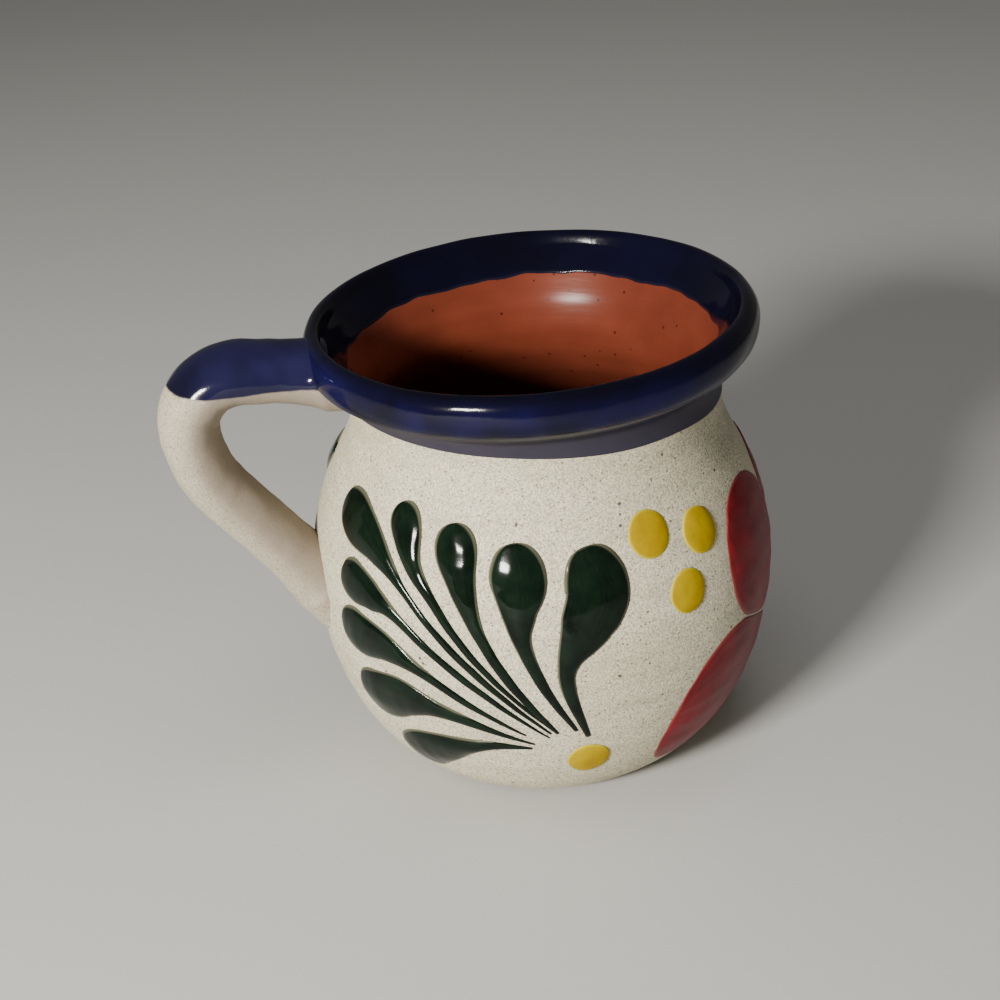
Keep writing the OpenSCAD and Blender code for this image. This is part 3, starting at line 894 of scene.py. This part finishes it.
@dataclass
class StrapHandle:
    """The strap from the lip round to the belly, with both ends smeared onto the pot."""

    form: PotForm
    finish: bpy.types.Material
    reach: float = 65.6
    height: float = 75.5
    upper_bend_r: float = 9.7
    back_bend_r: float = 22.9
    upper_rise: float = 6.0
    lower_lean: float = 37.8
    strap_w: float = 15.4
    strap_t: float = 10.2
    fullness: float = 1.9
    smear_w: float = 1.8
    top_smear: float = 7.0
    foot_smear: float = 16.0
    strap_dip: float = 1.2
    foot_share: float = 0.83
    root_in: float = 3.4

    def centreline(self) -> list[tuple[Vector, Vector, float]]:
        """Stations along the strap from inside the lip's wall to inside the belly's wall.

        Returns:
            The place, the way and the length walked at each station, in the handle's own plane.
        """
        upper = Vector((self.reach - self.upper_bend_r, self.height))
        back = Vector((self.reach - self.back_bend_r, self.height))
        stations = []
        rise, lean = math.radians(self.upper_rise), math.radians(self.lower_lean)
        start = upper + self.upper_bend_r * Vector((-math.sin(rise), math.cos(rise)))
        way = Vector((math.cos(rise), math.sin(rise)))
        run = (start.x - self.form.lip_r + self.root_in) / math.cos(rise)
        for i in range(14):
            stations.append((start - way * run * (1 - i / 14), way))
        for i in range(17):
            a = math.pi / 2 + rise - (math.pi / 2 + rise) * i / 16
            stations.append((upper + self.upper_bend_r * Vector((math.cos(a), math.sin(a))),
                             Vector((math.sin(a), -math.cos(a)))))
        for i in range(1, 11):
            a = -lean * i / 10
            stations.append((back + self.back_bend_r * Vector((math.cos(a), math.sin(a))),
                             Vector((math.sin(a), -math.cos(a)))))
        low, way = stations[-1]
        run = (low.x - self.form.belly_r * self.foot_share) / math.sin(lean)
        for i in range(1, 25):
            stations.append((low + way * run * i / 24, way))
        out, walked = [], 0.0
        for i, (place, way) in enumerate(stations):
            walked += (place - stations[i - 1][0]).length if i else 0.0
            out.append((place, way, walked))
        return out

    def build(self) -> None:
        """Makes the strap as one skin."""
        stations = self.centreline()
        total = stations[-1][2]
        lean = math.radians(self.lower_lean)
        low_hit = total - self.form.belly_r * (1 - self.foot_share) / math.sin(lean)

        def station(v: float) -> tuple[Vector, Vector, float]:
            """The strap's centre, way and length walked at a share of the rows."""
            at = v * (len(stations) - 1)
            i = min(int(at), len(stations) - 2)
            f = at - i
            a, b = stations[i], stations[i + 1]
            return a[0].lerp(b[0], f), a[1].lerp(b[1], f).normalized(), a[2] + (b[2] - a[2]) * f

        def flare(gone: float, length: float) -> float:
            """How far the smeared clay has widened, from 0 to 1, at a distance before the pot."""
            t = min(max(1 - gone / length, 0.0), 1.0)
            return 1 - math.sqrt(1 - min(t * t, 0.999))

        def place(u: float, v: float) -> Vector:
            """A point of the strap, u round it and v along it."""
            centre, way, walked = station(v)
            up = Vector((-way.y, way.x))
            a = math.tau * u
            c, s = math.cos(a), math.sin(a)
            power = 2 / self.fullness
            top = flare(walked - self.root_in, self.top_smear)
            foot = flare(low_hit - walked, self.foot_smear)
            body = 0.6 * smoothstep(0.0, 0.3, v) * (1 - smoothstep(0.4, 0.65, v))
            half_t = self.strap_t / 2 + self.form.cobalt_t + body * 0.5 + 0.8 * foot
            half_w = self.strap_w / 2 + self.form.cobalt_t + self.smear_w * (top + 1.3 * foot)
            x = math.copysign(abs(c) ** power, c) * half_t
            y = math.copysign(abs(s) ** power, s) * half_w
            x *= 1 + (0.35 * top + 0.12 * foot if c < 0 else 0.05 * foot)
            lumps = 0.18 * wander(walked, c * 9, s * 9, 7.0) + 0.12 * wander(walked, c * 9, s * 9, 2.8)
            capped = min(v * 160, (1 - v) * 160, 1.0)
            inward = (1 - smoothstep(0.0, 8.0, walked)) * max(1.5 - x, 0.0) * 0.5
            far = centre + up * x * (1 + lumps / half_t) * capped - way * inward
            return Vector((-far.x, y * (1 + lumps / half_w) * capped, far.y))

        def weight(u: float, v: float) -> float:
            """From 0 on the slip to 1 on the cobalt, and a half along the dip line."""
            centre, way, walked = station(v)
            up = Vector((-way.y, way.x))
            c = math.cos(math.tau * u)
            height = centre.y + up.y * math.copysign(abs(c) ** (2 / self.fullness), c) * self.strap_t / 2
            line = self.height + self.upper_bend_r - self.strap_dip - 0.2
            return min(max(0.5 + (height - line) / 4.0, 0.0), 1.0)
        strap = Sheet("dipped_strap_handle", 48, 160, place, weight).build(0.0)
        coats = ["handle_slip", "handle_under_slip", "handle_glaze"]
        settle(strap, self.finish, ["handle", *coats, "handle_top_luting", "handle_foot_luting"])


# Each stroke from head to tail: turn in degrees, share of the waist's height and share of the half width.
PLUMES: tuple[tuple[Knot, ...], ...] = (
    ((194.3, 0.857, 0), (203, 0.816, 0.75), (213, 0.777, 0.47),
     (223, 0.705, 0.15), (240, 0.537, 0.14), (258.6, 0.34, 0.04)),
    ((217, 0.9, 0), (220.7, 0.852, 0.58), (225, 0.77, 0.32),
     (231, 0.7, 0.18), (243, 0.542, 0.12), (259.6, 0.345, 0.03)),
    ((234.4, 0.885, 0), (236.3, 0.821, 0.68), (238.8, 0.74, 0.44),
     (243, 0.63, 0.21), (250, 0.497, 0.16), (260.2, 0.34, 0.06)),
    ((250.6, 0.853, 0), (252.3, 0.763, 0.86), (252.3, 0.685, 0.53),
     (253.2, 0.608, 0.27), (258, 0.477, 0.16), (264.7, 0.345, 0.07)),
    ((268.3, 0.836, 0), (271.0, 0.735, 1), (267.6, 0.65, 0.84),
     (263.2, 0.558, 0.36), (263.2, 0.472, 0.23), (267.7, 0.32, 0.09)),
    ((200.8, 0.694, 0), (206.4, 0.674, 0.7), (213, 0.661, 0.53),
     (222, 0.625, 0.2), (241.5, 0.475, 0.13), (258.2, 0.325, 0.03)),
    ((200.9, 0.558, 0), (208, 0.537, 0.82), (217, 0.534, 0.58),
     (227, 0.497, 0.24), (239.4, 0.422, 0.13), (252.5, 0.335, 0.04)),
    ((205, 0.38, 0), (212.5, 0.367, 0.93), (221, 0.39, 0.78),
     (230, 0.387, 0.38), (240, 0.36, 0.18), (254.5, 0.301, 0.04)),
    ((216.5, 0.157, 0), (222.5, 0.208, 0.85), (230, 0.245, 0.66),
     (239, 0.278, 0.31), (246, 0.29, 0.16), (253.8, 0.286, 0.05)),
)


@dataclass
class Plume:
    """A green stroke: a round loaded head that is drawn out into a thin tail."""

    skin: Skin
    side: Side
    number: int
    finish: bpy.types.Material
    half: float = 5.9
    rise: float = 0.9
    gap: float = 0.06
    head_share: float = 0.16

    def smooth(self, t: float) -> Knot:
        """The stroke's turn, height share and half-width share at a share of the way."""
        knots = list(PLUMES[self.number - 1])
        knots[0] = (*knots[0][:2], knots[1][2] * 0.86)
        at = t * (len(knots) - 1)
        i = min(int(at), len(knots) - 2)
        f = at - i
        a, b, c, d = (knots[max(0, min(len(knots) - 1, i + k))] for k in (-1, 0, 1, 2))
        return tuple(
            0.5 * (2 * q + (r - p) * f + (2 * p - 5 * q + 4 * r - s) * f * f + (3 * q - p - 3 * r + s) * f**3)
            for p, q, r, s in zip(a, b, c, d))

    def width(self, t: float) -> float:
        """The half width in millimetres at a share of the way."""
        rounded = math.sqrt(max(1 - (1 - min(t / self.head_share, 1.0)) ** 2, 0.0))
        return max(self.smooth(t)[2] * rounded, 0.03) * self.half

    def place(self, u: float, v: float) -> Vector:
        """A point of the stroke's surface, u across it and v along it."""
        t = v**1.25
        here, ahead, behind = self.smooth(t), self.smooth(min(t + 0.01, 1)), self.smooth(max(t - 0.01, 0))
        high = self.skin.form.waist_h
        height = here[1] * high
        way = Vector(((ahead[0] - behind[0]) / self.skin.degrees_of(1, height), (ahead[1] - behind[1]) * high))
        way.normalize()
        s, w = 2 * u - 1, self.width(t)
        turn = here[0] - self.skin.degrees_of(w * s * way.y, height)
        up = height + w * s * way.x
        dome = max(1 - s * s, 0.0) ** 0.85
        load = 1 - (1 - min(t / 0.22, 1.0)) ** 2
        top = self.rise * dome * (0.25 + 0.75 * load) * min(1.0, w / (self.half * 0.35))
        top *= 1 + 0.09 * wander(u * 4, v * 26 + self.number * 9, self.side.sign, 2.0)
        return self.skin.on(self.side.sign * turn, up, self.gap + top)

    def thick(self, u: float, v: float) -> float:
        """How thick the enamel lies, from 0 at its rim to 1."""
        t = v**1.25
        w = self.width(t)
        in_from_edge = min((1 - abs(2 * u - 1)) * w, t * 60 + 0.05)
        head = 1 - smoothstep(0.06, 0.3, t)
        return min(in_from_edge / (1.5 + 1.5 * head) + 0.55 * smoothstep(1.6, 0.5, w), 1.0)

    def build(self) -> None:
        """Makes the stroke."""
        name = f"{self.side.value}_plume_{self.number}"
        sheet = Sheet(name, 18, 90, self.place, self.thick)
        piece = sheet.build(0.25, inside_out=self.side is Side.NEAR)
        settle(piece, self.finish, [f"{self.side.value}_stroke_{self.number}"])


@dataclass
class Dot:
    """A yellow dot dabbed on with a loaded brush."""

    skin: Skin
    name: str
    node: str
    turn: float
    share: float
    finish: bpy.types.Material
    radius: float = 4.05
    rise: float = 0.7

    def place(self, u: float, v: float) -> Vector:
        """A point of the dot, u round it and v from its middle out."""
        a = math.tau * u
        reach = self.radius * (1 + 0.05 * wander(math.cos(a) * 3, math.sin(a) * 3, self.turn + self.share, 2.5))
        r = reach * math.sin(v * math.pi / 2)
        height = self.share * self.skin.form.waist_h
        x, y = r * math.cos(a), r * math.sin(a)
        dome = self.rise * math.cos(v * math.pi / 2) ** 0.8
        dome *= 1 + 0.15 * wander(x, y, self.turn, 2.5)
        return self.skin.on(self.turn + self.skin.degrees_of(x, height), height + y, 0.05 + dome)

    def thick(self, u: float, v: float) -> float:
        """How thick the enamel lies, from 0 at its rim to 1."""
        return min((1 - math.sin(v * math.pi / 2)) * self.radius / 1.4, 1.0)

    def build(self) -> None:
        """Makes the dot."""
        sheet = Sheet(self.name, 40, 14, self.place, self.thick)
        settle(sheet.build(0.2, inside_out=True), self.finish, [self.node])


@dataclass
class Petal:
    """A red petal laid on thinly with a broad brush."""

    skin: Skin
    number: int
    finish: bpy.types.Material
    centre_h: float = 21.0
    spread: float = 44.0
    length: float = 51.0
    half: float = 14.2
    start: float = 6.5
    gap: float = 0.2
    rise: float = 0.35
    widest: float = 0.72
    shares: tuple[float, ...] = (1, 0.98, 0.78, 0.98, 1)

    def half_width(self, along: float, length: float) -> float:
        """The petal's half width at a distance from the flower's middle."""
        wide = self.start + (length - self.start) * self.widest
        inner = self.half * math.sqrt(max(1 - ((wide - along) / wide) ** 2, 0.0))
        outer = self.half * math.sqrt(max(1 - ((along - wide) / (length - wide)) ** 2, 0.001))
        room = along * math.tan(math.radians(self.spread / 2)) - self.gap
        return min(room, inner if along < wide else outer)

    def place(self, u: float, v: float) -> Vector:
        """A point of the petal, u across it and v outwards along it."""
        angle = math.radians(90 + (self.number - 3) * self.spread)
        length = self.length * self.shares[self.number - 1]
        along = self.start + (length - self.start) * math.sin(v * math.pi / 2)
        s = 1 - 2 * u
        edge = 1 + 0.05 * wander(v * 10, self.number * 5.0, 1.0 if s > 0 else 2.0, 2.2)
        half = self.half_width(along, length) * min(edge, 1.0)
        x = along * math.cos(angle) - s * half * math.sin(angle)
        height = self.centre_h + along * math.sin(angle) + s * half * math.cos(angle)
        low = max(height, 2.4)
        ridges = 0.07 * wander(u * 14 + self.number * 3, v * 2, 0.0, 1.2)
        ends = smoothstep(0.0, 0.04, v) * smoothstep(1.0, 0.93, v)
        top = (self.rise + ridges) * max(1 - s**4, 0.0) ** 0.7 * ends
        return self.skin.on(self.skin.degrees_of(x, low), low, 0.05 + top)

    def thick(self, u: float, v: float) -> float:
        """How thick the enamel lies, from 0 at its rim to 1."""
        s = abs(2 * u - 1)
        return min((1 - s) * 4.5, (1 - v) * 5 + 0.1, v * 6 + 0.1, 1.0)

    def build(self) -> None:
        """Makes the petal."""
        sheet = Sheet(f"red_petal_{self.number}", 48, 70, self.place, self.thick)
        settle(sheet.build(0.2), self.finish, [f"petal_{self.number}"])


DOT_PLACES: tuple[Pair, ...] = ((286.2, 0.835), (301.7, 0.8), (294, 0.675), (268.2, 0.231))


@dataclass
class Painting:
    """All the enamel painting on the slip."""

    form: PotForm
    green: bpy.types.Material
    yellow: bpy.types.Material
    red: bpy.types.Material

    def build(self) -> None:
        """Makes the plumes and dots of both sides, and the flower on the front."""
        skin = Skin(self.form)
        for side in Side:
            for number in range(1, len(PLUMES) + 1):
                Plume(skin, side, number, self.green).build()
            for number, (turn, share) in enumerate(DOT_PLACES, 1):
                name = f"{side.value}_yellow_dot_{number}"
                Dot(skin, name, f"{side.value}_dot_{number}", side.sign * turn, share, self.yellow).build()
        for number in range(1, 6):
            Petal(skin, number, self.red).build()
        Dot(skin, "flower_yellow_centre", "flower_centre", 0.0, 21.0 / self.form.waist_h, self.yellow).build()


# Studio


@dataclass(frozen=True)
class Studio:
    """A grey floor, soft lamps and the camera at the photograph's angle."""

    stand: tuple[float, float, float] = (-63.5, -298.8, 210.8)
    aim: tuple[float, float, float] = (-6.8, 5.9, 48.2)
    roll: float = -2.98
    lens: float = 62.8

    def camera(self) -> None:
        """Sets the camera up."""
        data = bpy.data.cameras.new("camera")
        data.lens = self.lens
        data.sensor_width = 36.0
        data.clip_start = 0.01
        camera = bpy.data.objects.new("camera", data)
        bpy.context.scene.collection.objects.link(camera)
        place = Vector(self.stand) * MM
        turn: Quaternion = (Vector(self.aim) * MM - place).to_track_quat("-Z", "Y")
        roll = Matrix.Rotation(math.radians(self.roll), 4, "Z")
        camera.matrix_world = Matrix.Translation(place) @ turn.to_matrix().to_4x4() @ roll
        bpy.context.scene.camera = camera

    def lamp(self, name: str, place: tuple[float, float, float], size: Pair, power: float, colour: Colour,
             mirrored: bool = True) -> None:
        """Hangs a soft box that faces the mug.

        Args:
            name: The lamp's name.
            place: Where it hangs, in metres.
            size: Its width and height in metres.
            power: Its power in watts.
            colour: Its colour.
            mirrored: Whether the glazes mirror it.
        """
        data = bpy.data.lights.new(name, "AREA")
        data.shape = "RECTANGLE"
        data.size, data.size_y = size
        data.energy = power
        data.color = colour
        lamp = bpy.data.objects.new(name, data)
        lamp.visible_glossy = mirrored
        bpy.context.scene.collection.objects.link(lamp)
        turn = (Vector((0.0, 0.0, 0.05)) - Vector(place)).to_track_quat("-Z", "Y")
        lamp.matrix_world = Matrix.Translation(Vector(place)) @ turn.to_matrix().to_4x4()

    def floor(self) -> None:
        """Lays the grey floor."""
        bm = bmesh.new()
        bmesh.ops.create_grid(bm, x_segments=1, y_segments=1, size=3.0)
        mesh = bpy.data.meshes.new("floor")
        bm.to_mesh(mesh)
        bm.free()
        floor = bpy.data.objects.new("floor", mesh)
        bpy.context.scene.collection.objects.link(floor)
        b = Board("grey_floor")
        mesh.materials.append(b.finish(b.mix(b.noise(3.0), srgb(186, 186, 183), srgb(192, 192, 189)), 0.8))

    def build(self) -> None:
        """Makes the whole studio."""
        self.camera()
        self.floor()
        world = bpy.data.worlds.new("studio")
        world.use_nodes = True
        world.node_tree.nodes["Background"].inputs["Color"].default_value = (1.0, 0.98, 0.95, 1.0)
        world.node_tree.nodes["Background"].inputs["Strength"].default_value = 0.12
        bpy.context.scene.world = world
        self.lamp("key", (-0.45, -0.46, 0.33), (0.16, 0.07), 10.4, (1.0, 0.96, 0.9))
        self.lamp("fill", (0.0, -0.12, 0.8), (0.4, 0.4), 1.6, (1.0, 0.98, 0.95), mirrored=False)


def main() -> None:
    """Builds the mug and its studio, piece by piece."""
    logging.basicConfig(level=logging.INFO, format="%(name)s %(message)s")
    form = PotForm()
    slip, cobalt = SlipFinish(), CobaltFinish()
    Studio().build()
    Pot(form, ClayFinish().material(), slip.material(), LiningFinish().material(), cobalt.material()).build()
    StrapHandle(form, HandleFinish(slip, cobalt).material()).build()
    Painting(
        form,
        GREEN.material(),
        YELLOW.material(),
        RED.material(),
    ).build()


if __name__ == "__main__":
    main()
